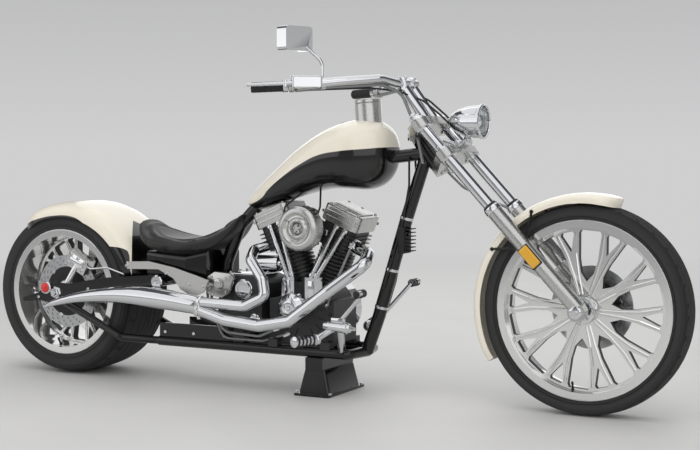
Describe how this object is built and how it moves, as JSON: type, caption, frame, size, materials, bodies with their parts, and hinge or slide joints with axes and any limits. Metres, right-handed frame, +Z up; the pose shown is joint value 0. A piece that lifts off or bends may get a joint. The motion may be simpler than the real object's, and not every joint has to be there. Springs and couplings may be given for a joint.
{
  "type": "chopper motorcycle",
  "caption": "Long raked custom motorcycle with a wide rear tyre, tall spoked front wheel, teardrop tank and open V engine, steering and rolling, on a low floor stand.",
  "frame": {"origin": "on the floor, at the centre of the bounding box's bottom face, below the middle of the wheelbase", "axes": "+X forward along the machine, +Y to the rider's left, +Z up"},
  "size_m": [2.845, 0.8998, 1.3401],
  "materials": {
    "black_paint": "gloss",
    "cream_paint": "gloss",
    "silver_paint": "satin",
    "chrome": "mirror bright",
    "polished_aluminium": "polished",
    "disc_steel": "brushed",
    "tyre_rubber": "matt",
    "grip_rubber": "matt",
    "leather": "semi-gloss",
    "black_plastic": "matt",
    "red_lens": "gloss"
  },
  "bodies": {
    "chassis": {"frame_backbone": "black_paint", "frame_downtube": "black_paint", "frame_rails": "black_paint", "swingarm": "black_paint", "side_struts": "silver_paint", "rear_fender": "cream_paint", "fuel_tank": "cream_paint", "tank_caps": "chrome", "seat_pad": "leather", "oil_tank": "black_paint", "crankcase": "black_paint", "transmission": "black_paint", "cylinders": "black_paint", "rocker_covers": "chrome", "pushrod_tubes": "chrome", "cam_cover": "chrome", "air_cleaner": "chrome", "exhaust_headers": "chrome", "muffler": "chrome", "primary_cover": "chrome", "regulator": "black_plastic", "foot_controls": "chrome", "rear_axle": "chrome", "rear_caliper": "polished_aluminium", "rear_lamps": "red_lens", "floor_stand": "black_paint", "side_stand_pivot": "black_paint"},
    "fork": {"triple_clamps": "chrome", "fork_tubes": "chrome", "fork_sliders": "polished_aluminium", "handlebar": "chrome", "grips": "grip_rubber", "control_levers": "chrome", "mirror": "chrome", "headlight": "chrome", "front_fender": "cream_paint", "front_axle": "chrome", "front_caliper": "polished_aluminium"},
    "front_wheel": {"front_tyre": "tyre_rubber", "front_rim": "polished_aluminium", "front_disc": "disc_steel"},
    "rear_wheel": {"rear_tyre": "tyre_rubber", "rear_rim": "polished_aluminium", "rear_disc": "disc_steel", "rear_pulley": "polished_aluminium"},
    "side_stand": {"side_stand": "black_paint"}
  },
  "joints": [
    {"name": "steering", "type": "hinge", "parent": "chassis", "child": "fork", "pos_m": [0.42444, 0, 0.95314], "axis": [-0.6157, 0, 0.788], "range_deg": [-30, 30]},
    {"name": "front_wheel_spin", "type": "hinge", "parent": "fork", "child": "front_wheel", "pos_m": [1.0585, 0, 0.364], "axis": [0, 1, 0], "continuous": true},
    {"name": "rear_wheel_spin", "type": "hinge", "parent": "chassis", "child": "rear_wheel", "pos_m": [-1.0895, 0, 0.333], "axis": [0, 1, 0], "continuous": true},
    {"name": "side_stand_swing", "type": "hinge", "parent": "chassis", "child": "side_stand", "pos_m": [-0.12, 0.149, 0.16], "axis": [0, -0.9397, -0.342], "range_deg": [0, 100]}
  ]
}
